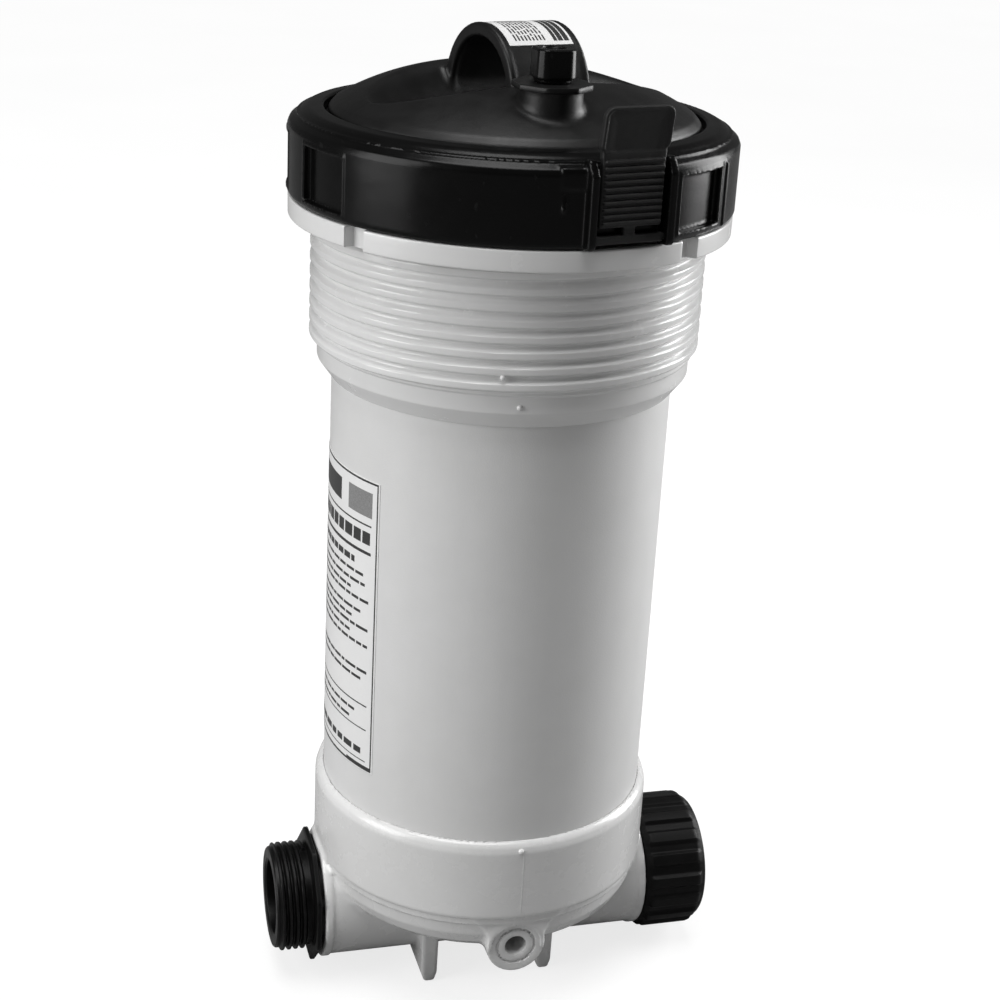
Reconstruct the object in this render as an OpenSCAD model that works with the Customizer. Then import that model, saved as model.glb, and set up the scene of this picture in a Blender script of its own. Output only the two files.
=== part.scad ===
// Top-load cartridge filter housing for pool and spa plumbing.
// Frame: millimetres, +Z up along the tank axis, X along the two ports, -Y is the drain side.
// Origin: centre of the plane the feet stand on.

/* [Tank] */
// Outer diameter of the tank tube (6 inch pipe size)
tube_d = 168.3; // [168.3]
// Wall of the tank tube
tube_wall = 4.5; // [4:0.1:4.8]
// Outer radius of the base collar
collar_r = 88.5; // [88:0.1:89]
// Bottom edge of the base collar above the feet plane
collar_z0 = 72; // [71.5:0.1:72.5]
// Top edge of the base collar
collar_z1 = 115; // [112:0.5:118]
// Crest radius of the big rounded fixing thread
thread_r = 95.5; // [95:0.1:96]
// Axial pitch of the fixing thread ridges
thread_pitch = 7.35; // [7.2:0.05:7.4]
// Number of fixing thread ridges
thread_n = 8; // [6:1:8]
// Radius of the flange that the lock ring stands on
flange_r = 106.5; // [106:0.1:107]
// Angular width of each notch in the flange rim, degrees
notch_w = 6; // [4:0.5:8]

/* [Ports] */
// Height of the port axis above the feet plane
port_z = 41; // [40:0.1:42]
// Outer radius of the port tubes
port_r = 33; // [32.5:0.1:33.5]
// Radius of the socket in each port tube
socket_r = 27; // [26.5:0.1:27.2]
// Length of each port tube from the tank axis
port_x = 88.6; // [88.6:0.1:89]
// Radius of the water way inside the outlet
bore_r = 20; // [18:0.5:21]
// Crest radius of the inlet adapter thread
inlet_thread_r = 28.7; // [28.2:0.1:29.2]
// Bore radius of the inlet adapter
inlet_bore_r = 19.7; // [19:0.1:20]
// Distance of the inlet adapter face from the tank axis
inlet_x = 113.4; // [112:0.1:115]
// Distance of the union nut face from the tank axis
nut_x = 123.7; // [122:0.1:125]
// Outer radius over the grip lobes of the union nut
nut_r = 36.8; // [36.5:0.1:37.5]
// Number of grip lobes on the union nut
nut_lobes = 18; // [14:1:20]
// Radius of the socket for an inch and a half pipe (48.3 mm pipe)
pipe_r = 24.15; // [24.1:0.01:24.2]

/* [Drain and feet] */
// Outer radius of the drain boss
drain_r = 15; // [14.5:0.1:15.5]
// Wall radius of the drain hole (tap size of a quarter inch pipe thread)
drain_hole_r = 5.6; // [5.4:0.05:5.8]
// Distance of the drain boss face from the tank axis
drain_y = 84; // [83:0.1:85]
// Height of the drain boss above the feet plane
drain_z = 52; // [51.5:0.1:52.5]
// Distance of each foot from the tank axis
foot_x = 32; // [30:0.5:34]
// Depth of each foot, front to back
foot_len = 70; // [66:1:74]
// Thickness of each foot at its top
foot_t = 9.4; // [8.5:0.1:10]

/* [Lid and ring] */
// Outer radius of the lock ring
ring_r = 107; // [106.5:0.1:107.5]
// Radius of the opening in the lock ring
ring_open_r = 90; // [89.5:0.1:90.5]
// Radius of the visible edge of the lid
lid_r = 88; // [87.5:0.1:88.5]
// Height of the lid dome above the lid edge
dome_h = 20; // [19:0.1:20.5]
// Turn of the hand grip about the tank axis, degrees
grip_az = 15; // [10:1:20]
// Outer radius of the handle arch
arch_r = 32; // [31.5:0.1:32.5]
// Thickness of the handle arch
arch_t = 5.6; // [5:0.1:6]
// Width of the handle arch along its tunnel
arch_w = 42; // [40:1:44]
// Direction of the lock tab about the tank axis, degrees
tab_az = -77; // [-79:1:-75]
// Width of the lock tab
tab_w = 31.5; // [31:0.5:32.5]
// Number of grip ribs on the lock tab
tab_ribs = 10; // [8:1:10]
// Across-flats size of the air relief knob
knob_w = 18.4; // [17.5:0.1:19]
// Number of locking lugs around the neck and the ring
lug_n = 3; // [3]
// Angular width of each lug, degrees
lug_w = 48; // [40:1:52]

/* [Filter element] */
// Outer diameter of the filter cartridge
cart_d = 125.4; // [122:0.1:126]
// Length of the filter cartridge over its end caps
cart_len = 338; // [330:1:338]
// Number of pleats
pleats = 72; // [48:4:90]
// Inner diameter of the cartridge bottom opening
cart_id = 54; // [54:0.1:55]

/* [Labels] */
// Angle of the right edge of the body label, degrees
label_a1 = -146; // [-150:1:-142]
// Angular width of the body label, degrees
label_aw = 80; // [60:1:90]
// Bottom edge of the body label
label_z0 = 138; // [134:1:142]
// Top edge of the body label
label_z1 = 294; // [290:1:298]

/* [Hidden] */
$fn = 96;
tube_r = tube_d / 2;
tube_ri = tube_r - tube_wall;
tube_z0 = 76;
tube_z1 = 404;
neck_z0 = 333.5;
step_z1 = 351.2;
flange_z0 = 411;
flange_z1 = 421;
neck_top = 452;
lid_z = 464;
arch_z = 503 - arch_r;
cart_z0 = 82;
knob_x = -1;
knob_y = -60;
boss_top = 485.5;
val_x = 46;

// Height of the outer dome at radius r
function dome(r) = lid_z + dome_h * (1 - pow(r / 86, 2.6));

// Helical coil of round wire as one closed solid
module coil(rm, rw, z0, z1, turns, seg = 16, side = 6) {
    n = turns * seg;
    pts = [for (i = [0:n]) let (a = 360 * i / seg, z = z0 + rw + (z1 - z0 - 2 * rw) * i / n)
        for (j = [0:side - 1]) let (b = 360 * j / side)
            [(rm + rw * cos(b)) * cos(a), (rm + rw * cos(b)) * sin(a), z + rw * sin(b)]];
    quads = [for (i = [0:n - 1]) for (j = [0:side - 1])
        [i * side + j, i * side + (j + 1) % side, (i + 1) * side + (j + 1) % side, (i + 1) * side + j]];
    polyhedron(points = pts, faces = concat([for (q = quads) [q[3], q[2], q[1], q[0]]],
        [[for (j = [0:side - 1]) j], [for (j = [side - 1:-1:0]) n * side + j]]), convexity = 8);
}

// Cylinder along X from x0 to x1 at height z
module xcyl(r, x0, x1, z = port_z, y = 0) {
    translate([x0, y, z]) rotate([0, 90, 0]) cylinder(r = r, h = x1 - x0);
}

// One foot: a plate across the underside, thinner at the floor
module foot(x) {
    translate([x, foot_len / 2, 0]) rotate([90, 0, 0]) linear_extrude(foot_len)
        polygon([[-2.8, 0], [2.8, 0], [foot_t / 2 - 0.4, 5], [foot_t / 2, 44], [-foot_t / 2, 44], [-foot_t / 2 + 0.4, 5]]);
}

// Outside of the base, as a turned profile
module base_outer() {
    rotate_extrude() polygon([[0, 40], [50, 41], [66, 44.2], [75, 48.4], [81, 53.5], [84.6, 60], [85.6, 66.8],
        [86.9, 67.6], [86.9, 71.2], [collar_r - 0.6, collar_z0 - 0.2], [collar_r, collar_z0 + 0.8],
        [collar_r, collar_z1 - 5], [collar_r - 1, collar_z1 - 2.2], [tube_r + 1.6, collar_z1 - 0.3],
        [tube_r + 0.6, collar_z1], [0, collar_z1]]);
}

// Space inside the base: the tube socket above and the bowl below
module base_inner() {
    rotate_extrude() polygon([[0, 46.2], [46, 47.4], [61, 50.6], [70, 55], [76, 61], [tube_ri, 68],
        [tube_ri, tube_z0], [tube_r + 0.05, tube_z0], [tube_r + 0.05, collar_z1 + 1], [0, collar_z1 + 1]]);
}

// Drain boss with its web up to the collar
module drain_boss() {
    translate([0, -40, 0]) rotate([90, 0, 0]) linear_extrude(drain_y - 40) union() {
        translate([0, drain_z]) circle(r = drain_r);
        polygon([[-drain_r * 0.94, drain_z + 4], [drain_r * 0.94, drain_z + 4], [17.5, 64], [22, 70.5], [-22, 70.5], [-17.5, 64]]);
    }
}

module base() {
    color("whitesmoke") difference() {
        union() {
            difference() {
                union() {
                    base_outer();
                    xcyl(port_r, -port_x, port_x);
                    foot(-foot_x);
                    foot(foot_x);
                    drain_boss();
                }
                base_inner();
                xcyl(socket_r, -port_x - 1, -52);
            }
            // Closed outlet pipe inside the bowl, the standpipe and the valve seat boss
            xcyl(socket_r + 1, -44, port_x - 8);
            translate([0, 0, port_z]) cylinder(r = cart_id / 2 - 0.4, h = 57);
            translate([0, 0, 62]) cylinder(r = 34, h = 19.6);
            translate([val_x, 0, 50]) cylinder(r = 18, h = 20);
        }
        xcyl(22, -38, port_x - 22);
        xcyl(socket_r, port_x - 24, port_x + 1);
        translate([0, 0, port_z]) cylinder(r = 21, h = 60);
        translate([val_x, 0, port_z]) cylinder(r = 14, h = 40);
        // Room above the valve seat for the flange of the valve cage
        translate([val_x, 0, 70]) cylinder(r = 17.2, h = 20);
        translate([0, -60, drain_z]) rotate([90, 0, 0]) cylinder(r = drain_hole_r, h = 40);
        // Flat face on the drain boss and the ring groove in it
        translate([0, -drain_y, drain_z]) rotate([90, 0, 0]) cylinder(r = 13, h = 10);
        translate([0, 1.4 - drain_y, drain_z]) rotate([90, 0, 0]) difference() {
            cylinder(r = 10.4, h = 3);
            translate([0, 0, -1]) cylinder(r = 9.2, h = 5);
        }
    }
}

module tube() {
    color("white") difference() {
        translate([0, 0, tube_z0 + 0.05]) cylinder(r = tube_r, h = tube_z1 - tube_z0 - 0.05);
        translate([0, 0, tube_z0 - 1]) cylinder(r = tube_ri, h = tube_z1 - tube_z0 + 2);
    }
}

// Ring-shaped thread ridge profile points at height z: root, crest, crest, root
function ridge(z, root, crest, half, flat) =
    [[root, z - half], [crest - 0.5, z - flat - 0.7], [crest, z - flat], [crest, z + flat], [crest - 0.5, z + flat + 0.7], [root, z + half]];

module neck() {
    root = thread_r - 2.6;
    prof = concat([[tube_r + 0.9, neck_z0], [91.5, neck_z0 + 8.3], [91.5, step_z1 - 2], [91.9, step_z1 - 0.6]],
        [[root, step_z1]],
        [for (i = [0:thread_n - 1]) each ridge(step_z1 + 4 + i * thread_pitch, root, thread_r, 3.3, 1.3)],
        [[root, flange_z0 - 0.98], [thread_r + 0.3, flange_z0 - 0.9], [thread_r + 0.3, flange_z0]], [[flange_r - 0.8, flange_z0], [flange_r, flange_z0 + 0.8], [flange_r, flange_z1 - 0.6], [flange_r - 0.6, flange_z1],
        [93.5, flange_z1], [93.5, neck_top - 1], [92.5, neck_top], [86.3, neck_top], [84.3, neck_top - 3],
        [84.3, 438], [tube_ri + 0.4, 434], [tube_ri + 0.4, tube_z1 + 0.1], [tube_r + 0.05, tube_z1 + 0.1], [tube_r + 0.05, neck_z0]]);
    color("white") difference() {
        union() {
            rotate_extrude() polygon(prof);
            // Locking lugs, hidden under the lock ring
            for (i = [0:lug_n - 1]) rotate([0, 0, tab_az + 60 + i * 360 / lug_n - lug_w / 2])
                rotate_extrude(angle = lug_w) polygon([[93, 435.5], [100.8, 436.5], [100.8, 442], [93, 444.5]]);
        }
        // Notches in the flange rim
        for (a = [-146, -56, 34, 124]) rotate([0, 0, a]) translate([flange_r - 5.2, -flange_r * sin(notch_w / 2), flange_z0 - 1])
            cube([8, 2 * flange_r * sin(notch_w / 2), 13]);
    }
}

module inlet_adapter() {
    n = 5;
    color("dimgray") translate([0, 0, port_z]) rotate([0, -90, 0]) difference() {
        union() {
            translate([0, 0, port_x - 28]) cylinder(r = socket_r - 0.05, h = 32);
            translate([0, 0, port_x + 0.1]) cylinder(r1 = 30.6, r2 = 33.2, h = 2.2);
            translate([0, 0, port_x + 1.6]) rotate([0, 0, 22.5]) cylinder(r = 36.2, h = 3.6, $fn = 8);
            rotate_extrude() polygon(concat([[inlet_bore_r - 1, 80], [26.9, 80], [26.9, 94]],
                [for (i = [0:n - 1]) each ridge(96 + i * 3.6, 26.9, inlet_thread_r, 1.7, 0.4)],
                [[26.9, inlet_x - 1], [26.2, inlet_x], [inlet_bore_r - 1, inlet_x]]));
        }
        translate([0, 0, 40]) cylinder(r = inlet_bore_r, h = 100);
        translate([0, 0, inlet_x - 0.8]) cylinder(r1 = inlet_bore_r, r2 = inlet_bore_r + 1.2, h = 1.2);
    }
}

module outlet_adapter() {
    color("dimgray") translate([0, 0, port_z]) rotate([0, 90, 0]) difference() {
        rotate_extrude() polygon(concat([[bore_r, port_x - 23], [socket_r - 0.05, port_x - 23], [socket_r - 0.05, port_x + 0.1], [30.5, port_x + 0.1],
            [30.5, port_x + 1.7], [27, port_x + 1.7], [27, 90.6]],
            [for (i = [0:1]) each ridge(92.8 + i * 3.4, 27, 27.9, 1.4, 0.4)],
            [[27, 98], [26.5, 98.5], [bore_r, 98.5]]));
        // Seal groove in the face
        translate([0, 0, 96.4]) difference() {
            cylinder(r = 25.4, h = 3);
            translate([0, 0, -1]) cylinder(r = 21.6, h = 5);
        }
    }
}

module union_oring() {
    color("black") translate([0, 0, port_z]) rotate([0, 90, 0]) rotate_extrude() translate([23.5, 97.62]) circle(r = 1.15);
}

module union_tailpiece() {
    color("dimgray") translate([0, 0, port_z]) rotate([0, 90, 0]) difference() {
        union() {
            translate([0, 0, 98.8]) cylinder(r = 28, h = 4.2);
            translate([0, 0, 98.9]) cylinder(r = 26.4, h = nut_x - 0.6 - 98.9);
        }
        translate([0, 0, 101.2]) cylinder(r = pipe_r, h = 40);
        translate([0, 0, 90]) cylinder(r = bore_r, h = 40);
    }
}

module union_nut() {
    x0 = port_x + 0.6;
    color("dimgray") translate([0, 0, port_z]) rotate([0, 90, 0]) difference() {
        union() {
            rotate_extrude() polygon([[26.5, x0], [33.6, x0], [35.2, x0 + 2.8], [35.2, nut_x - 4], [33.6, nut_x - 0.8], [32.8, nut_x], [26.5, nut_x]]);
            for (i = [0:nut_lobes - 1]) rotate([0, 0, i * 360 / nut_lobes])
                intersection() {
                    translate([32.6, 0, x0 + 1]) cylinder(r = nut_r - 32.6, h = nut_x - x0 - 3.4);
                    rotate_extrude() polygon([[20, x0 + 1], [34.4, x0 + 1], [nut_r + 0.1, x0 + 4.6], [nut_r + 0.1, nut_x - 6], [34.8, nut_x - 2.4], [20, nut_x - 2.4]]);
                }
        }
        // Threaded bore, shoulder for the tailpiece flange
        rotate_extrude() polygon(concat([[0, 80], [31, 80], [31, 91], [29.3, 92]],
            [for (i = [0]) each [[29.3, 94.5 + i * 3.4 - 1.2], [27.5, 94.5 + i * 3.4 - 0.3], [27.5, 94.5 + i * 3.4 + 0.3], [29.3, 94.5 + i * 3.4 + 1.2]]],
            [[29.3, 103.3], [0, 103.3]]));
    }
}

module bypass_cage() {
    color("silver") translate([val_x, 0, 0]) difference() {
        union() {
            translate([0, 0, 32]) cylinder(r = 13.9, h = 38.1);
            translate([0, 0, 70.05]) cylinder(r = 17, h = 2);
        }
        translate([0, 0, 50]) cylinder(r = 8.5, h = 30);
        translate([0, 0, 34]) cylinder(r = 11.6, h = 30);
        translate([0, 0, 20]) cylinder(r = 2.58, h = 20);
        // Side windows and floor windows
        for (a = [0, 60, 120]) rotate([0, 0, a]) translate([-20, -4, 36]) cube([40, 8, 24]);
        for (a = [0, 90, 180, 270]) rotate([0, 0, a]) translate([6, -3, 30]) cube([5, 6, 6]);
    }
}

module bypass_poppet() {
    color("dimgray") translate([val_x, 0, 0]) {
        translate([0, 0, 60.9]) cylinder(r = 10.6, h = 3);
        translate([0, 0, 28]) cylinder(r = 2.5, h = 33);
    }
}

module bypass_spring() {
    color("silver") translate([val_x, 0, 0]) coil(5.4, 0.75, 34.1, 60.8, 5);
}

cart_r = cart_d / 2;
cap_h = 9;
module cartridge_bottom_cap() {
    color("steelblue") difference() {
        translate([0, 0, cart_z0]) cylinder(r = cart_r, h = cap_h);
        translate([0, 0, cart_z0 - 1]) cylinder(r = cart_id / 2, h = cap_h + 2);
        translate([0, 0, cart_z0 - 1]) cylinder(r1 = cart_id / 2 + 3.4, r2 = cart_id / 2 - 0.4, h = 3.8);
    }
}

module cartridge_top_cap() {
    z = cart_z0 + cart_len - cap_h;
    color("steelblue") union() {
        translate([0, 0, z]) cylinder(r = cart_r, h = cap_h);
        translate([0, 0, z + cap_h - 1]) rotate([90, 0, 0]) rotate_extrude(angle = 180) translate([17, 0]) circle(r = 4, $fn = 32);
        for (s = [-1, 1]) translate([17 * s, 0, z + cap_h - 2]) cylinder(r = 6.5, h = 3.5);
    }
}

module cartridge_pleats() {
    ro = cart_r - 2.2;
    ri = 33;
    t = 360 / pleats;
    z0 = cart_z0 + cap_h + 0.02;
    h = cart_len - 2 * cap_h - 0.04;
    // A folded sheet: an outer zigzag and, inside it, the same fold moved in
    color("white") translate([0, 0, z0]) linear_extrude(h) difference() {
        polygon([for (i = [0:pleats - 1]) each [
            [ro * cos((i - 0.13) * t), ro * sin((i - 0.13) * t)], [ro * cos((i + 0.13) * t), ro * sin((i + 0.13) * t)],
            [(ri + 2) * cos((i + 0.42) * t), (ri + 2) * sin((i + 0.42) * t)], [(ri + 2) * cos((i + 0.58) * t), (ri + 2) * sin((i + 0.58) * t)]]]);
        polygon([for (i = [0:pleats - 1]) each [
            [(ro - 1.6) * cos((i - 0.06) * t), (ro - 1.6) * sin((i - 0.06) * t)], [(ro - 1.6) * cos((i + 0.06) * t), (ro - 1.6) * sin((i + 0.06) * t)],
            [ri * cos((i + 0.34) * t), ri * sin((i + 0.34) * t)], [ri * cos((i + 0.66) * t), ri * sin((i + 0.66) * t)]]]);
    }
}

module cartridge_core() {
    z0 = cart_z0 + cap_h + 0.02;
    h = cart_len - 2 * cap_h - 0.04;
    color("white") difference() {
        translate([0, 0, z0]) cylinder(r = 31, h = h);
        translate([0, 0, z0 - 1]) cylinder(r = 28, h = h + 2);
        for (k = [0:8]) for (a = [0, 60, 120]) rotate([0, 0, a + (k % 2) * 30])
            translate([-40, -6, z0 + 14 + k * 33]) cube([80, 12, 22]);
    }
}

module cartridge_bands() {
    color("lightgray") for (z = [cart_z0 + 110, cart_z0 + 220]) difference() {
        translate([0, 0, z]) cylinder(r = cart_r - 1.2, h = 12);
        translate([0, 0, z - 1]) cylinder(r = cart_r - 2.15, h = 14);
    }
}

// Section of the grip valley across its length: v sideways, z up
module valley(top, drop) {
    polygon([[-44, top + 20], [-39, 479 - drop], [-34, 475.6 - drop], [-29, 469 - drop], [-24, 464.6 - drop], [-17, 462.6 - drop],
        [17, 462.6 - drop], [24, 464.6 - drop], [29, 469 - drop], [34, 475.6 - drop], [39, 479 - drop], [44, top + 20]]);
}

module lid() {
    n = 16;
    color("darkslategray") rotate([0, 0, grip_az]) difference() {
        union() {
            difference() {
                rotate_extrude() polygon(concat([[0, 452.3], [93.6, 452.3], [93.6, 457.3], [lid_r, 457.3], [lid_r, lid_z - 1.2]],
                    [for (i = [n:-1:0]) [86 * i / n, dome(86 * i / n)]]));
                rotate([90, 0, 90]) translate([0, 0, -70]) linear_extrude(140) valley(480, 0);
            }
            // Plug that carries the lid seal
            translate([0, 0, 440]) cylinder(r = 83.9, h = 13);
            // Handle arch and the boss of the air relief
            intersection() {
                translate([-arch_w / 2, 0, arch_z]) rotate([0, 90, 0]) cylinder(r = arch_r, h = arch_w);
                translate([-50, -50, 458]) cube([100, 100, 60]);
            }
            rotate([0, 0, -grip_az]) translate([knob_x, knob_y, 0]) {
                translate([0, 0, 458]) cylinder(r = 14.2, h = boss_top - 460);
                translate([0, 0, boss_top - 2.8]) rotate([0, 0, 22.5]) cylinder(r = 18.4, h = 2.8, $fn = 8);
            }
        }
        // Hollow under the dome and inside the plug
        difference() {
            rotate_extrude() polygon(concat([[0, 430], [78.4, 430], [78.4, 456], [82.6, 460.2]],
                [for (i = [n - 1:-1:0]) [86 * i / n, dome(86 * i / n) - 3.6]]));
            rotate([90, 0, 90]) translate([0, 0, -100]) linear_extrude(200) difference() {
                translate([-39, 459]) square([78, 60]);
                valley_under();
            }
            rotate([0, 0, -grip_az]) translate([knob_x, knob_y, 452]) cylinder(r = 8.5, h = 40);
        }
        // Tunnel of the handle
        translate([-arch_w / 2 - 1, 0, arch_z]) rotate([0, 90, 0]) cylinder(r = arch_r - arch_t, h = arch_w + 2);
        // Seal groove and the relief screw hole
        translate([0, 0, 443.8]) difference() {
            cylinder(r = 90, h = 4.4);
            translate([0, 0, -1]) cylinder(r = 80.15, h = 7);
        }
        rotate([0, 0, -grip_az]) translate([knob_x, knob_y, 440]) cylinder(r = 3.58, h = 60);
        rotate([0, 0, -grip_az]) translate([knob_x, knob_y, boss_top - 4]) cylinder(r = 7, h = 10);
    }
}

// Space under the valley skin that stays hollow
module valley_under() {
    polygon([[-40, 440], [-40, 474], [-36, 470.6], [-31.5, 463.6], [-27, 460.4], [-18, 459], [18, 459], [27, 460.4], [31.5, 463.6], [36, 470.6], [40, 474], [40, 440]]);
}

module lid_oring() {
    color("black") rotate_extrude() translate([82.2, 446]) circle(r = 2);
}

module relief_knob() {
    b = 2.8;
    w = knob_w / 2;
    color("dimgray") translate([knob_x, knob_y, 0]) union() {
        translate([0, 0, boss_top + 1.7]) linear_extrude(12.1) polygon([[w, -w + b], [w, w - b], [w - b, w], [-w + b, w], [-w, w - b], [-w, -w + b], [-w + b, -w], [w - b, -w]]);
        translate([0, 0, boss_top + 13.8]) linear_extrude(1.2) polygon([[w - 1, -w + b + 0.4], [w - 1, w - b - 0.4], [w - b - 0.4, w - 1], [-w + b + 0.4, w - 1], [-w + 1, w - b - 0.4],
            [-w + 1, -w + b + 0.4], [-w + b + 0.4, -w + 1], [w - b - 0.4, -w + 1]]);
        translate([0, 0, boss_top + 0.4]) cylinder(r = 8.6, h = 2);
        translate([0, 0, 458]) cylinder(r = 3.5, h = boss_top - 456);
    }
}

module relief_oring() {
    color("black") translate([knob_x, knob_y, boss_top - 2.25]) rotate_extrude() translate([5.25, 0]) circle(r = 1.62, $fn = 48);
}

module lock_ring() {
    color("black") difference() {
        union() {
            rotate_extrude() polygon([[101.5, 421.4], [105.6, 421.4], [ring_r - 0.3, 422.6], [ring_r, 424], [ring_r, 453.4], [106.2, 455.6],
                [99.6, 460], [97.6, 461.4], [ring_open_r + 1, 462.2], [ring_open_r, 461.6], [ring_open_r, 457.8], [101.5, 457.8]]);
            for (i = [0:lug_n - 1]) rotate([0, 0, tab_az + i * 360 / lug_n - lug_w / 2])
                rotate_extrude(angle = lug_w) polygon([[102, 424.5], [94.2, 426.5], [94.2, 433.5], [102, 435]]);
            // Cheeks that hold the lock tab
            rotate([0, 0, tab_az]) for (s = [-1, 1]) translate([101.8, s > 0 ? tab_w / 2 + 2.1 : -tab_w / 2 - 6.1, 421.6])
                rotate([90, 0, 0]) mirror([0, 0, 1]) linear_extrude(4) polygon([[0, 0], [7.6, 0], [8.7, 2], [8.7, 33], [6, 37.5], [0.6, 39.5], [0, 39]]);
        }
        // Slot for the lock tab and the window for its tooth
        rotate([0, 0, tab_az]) translate([103.4, -tab_w / 2 - 2.1, 420]) cube([10, tab_w + 4.2, 50]);
        rotate([0, 0, tab_az]) translate([90, -7, 436.5]) cube([20, 14, 9]);
        rotate([0, 0, tab_az]) translate([106.2, -tab_w / 2 - 4.9, 425.6]) rotate([-90, 0, 0]) cylinder(r = 1.62, h = tab_w + 9.8);
        // Grip pockets: six pairs of pockets around the wall
        for (a = [-167.3, -61.5, -5, 50, 105, 160]) rotate([0, 0, a]) rotate_extrude(angle = 17.2)
            polygon([[ring_r - 3.2, 425.4], [ring_r + 2, 425.4], [ring_r + 2, 450.4], [ring_r - 3.2, 450.4]]);
    }
}

module lock_tab() {
    w = tab_w / 2;
    color("gray") rotate([0, 0, tab_az]) union() {
        // Lower bar with its trunnions, and the stem
        translate([104.4, -w - 1.6, 423.6]) cube([3.4, tab_w + 3.2, 4]);
        translate([106.2, -w - 4.6, 425.6]) rotate([-90, 0, 0]) cylinder(r = 1.54, h = tab_w + 9.2);
        translate([105, -3, 427]) cube([2.4, 6, 5]);
        // Ribbed panel
        translate([104.6, -w, 431]) cube([3.4, tab_w, 33]);
        for (i = [0:tab_ribs - 1]) translate([107.5, -w + 1, 432.7 + i * 2.95]) cube([1.9, tab_w - 2, 1.5]);
        translate([102.2, -5, 438.2]) cube([3, 10, 4]);
        // Thumb paddle, leaning out a little, with rounded corners
        intersection() {
            translate([0, w + 5, 0]) rotate([90, 0, 0]) linear_extrude(tab_w + 10)
                polygon([[104.8, 460], [107.9, 460], [108.6, 467], [110.6, 483.5], [107.7, 483.5], [105.4, 467]]);
            translate([95, 0, 0]) rotate([90, 0, 90]) linear_extrude(30)
                polygon([[-w, 459], [w, 459], [w, 464], [w + 1.6, 467], [w + 1.6, 479.4], [w + 0.9, 481.5], [w - 0.7, 482.9], [w - 2.6, 483.4],
                    [-w + 2.6, 483.4], [-w + 0.7, 482.9], [-w - 0.9, 481.5], [-w - 1.6, 479.4], [-w - 1.6, 467], [-w, 464]]);
        }
    }
}

module body_label() {
    color("white") rotate([0, 0, label_a1 - label_aw]) rotate_extrude(angle = label_aw)
        translate([tube_r + 0.03, label_z0]) square([0.25, label_z1 - label_z0]);
}

module handle_label() {
    color("white") rotate([0, 0, grip_az]) translate([-arch_w / 2 + 4, 0, arch_z]) rotate([0, 90, 0]) rotate([0, 0, 140])
        rotate_extrude(angle = 80) translate([arch_r + 0.03, 0]) square([0.2, arch_w - 8]);
}

base();
tube();
neck();
inlet_adapter();
outlet_adapter();
union_nut();
union_tailpiece();
union_oring();
bypass_cage();
bypass_poppet();
bypass_spring();
cartridge_bottom_cap();
cartridge_pleats();
cartridge_core();
cartridge_bands();
cartridge_top_cap();
lid();
lid_oring();
relief_knob();
relief_oring();
lock_ring();
lock_tab();
body_label();
handle_label();
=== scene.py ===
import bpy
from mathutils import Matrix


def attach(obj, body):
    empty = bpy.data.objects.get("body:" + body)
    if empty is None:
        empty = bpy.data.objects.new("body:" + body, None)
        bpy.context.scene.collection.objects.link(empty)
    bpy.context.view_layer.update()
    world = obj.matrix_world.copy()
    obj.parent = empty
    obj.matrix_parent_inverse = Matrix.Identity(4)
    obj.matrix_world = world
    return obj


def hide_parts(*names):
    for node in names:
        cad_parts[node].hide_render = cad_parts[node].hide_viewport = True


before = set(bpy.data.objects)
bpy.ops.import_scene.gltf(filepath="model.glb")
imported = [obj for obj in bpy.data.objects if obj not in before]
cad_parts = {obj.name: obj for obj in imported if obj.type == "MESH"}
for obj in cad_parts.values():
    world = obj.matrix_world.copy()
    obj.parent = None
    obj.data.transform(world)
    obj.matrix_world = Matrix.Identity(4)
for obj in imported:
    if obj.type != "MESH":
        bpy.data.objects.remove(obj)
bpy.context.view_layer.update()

import math
import random

import bpy
import numpy as np
from mathutils import Matrix, Vector

MM = 0.001
rnd = random.Random(11)
scene = bpy.context.scene
DEG = math.pi / 180

# ----------------------------------------------------------------------------
# Mesh helpers. Shapes are worked out in millimetres and scaled on the way in.
# ----------------------------------------------------------------------------


def put_mesh(name, verts, faces, mat=None, angle=32, xform=None):
    verts = np.asarray(verts, float) * MM
    me = bpy.data.meshes.new(name)
    if isinstance(faces, np.ndarray):
        n, k = faces.shape
        me.vertices.add(len(verts))
        me.vertices.foreach_set("co", verts.astype(np.float32).ravel())
        me.loops.add(n * k)
        me.loops.foreach_set("vertex_index", faces.astype(np.int32).ravel())
        me.polygons.add(n)
        me.polygons.foreach_set("loop_start", np.arange(0, n * k, k, dtype=np.int32))
        me.update(calc_edges=True)
    else:
        me.from_pydata([tuple(v) for v in verts], [], [tuple(f) for f in faces])
        me.update()
    me.validate()
    if xform is not None:
        me.transform(xform)
    me.polygons.foreach_set("use_smooth", np.ones(len(me.polygons), bool))
    if angle is not None:
        me.set_sharp_from_angle(angle=angle * DEG)
    ob = bpy.data.objects.new(name, me)
    scene.collection.objects.link(ob)
    if mat is not None:
        me.materials.append(mat)
    return ob


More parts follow.
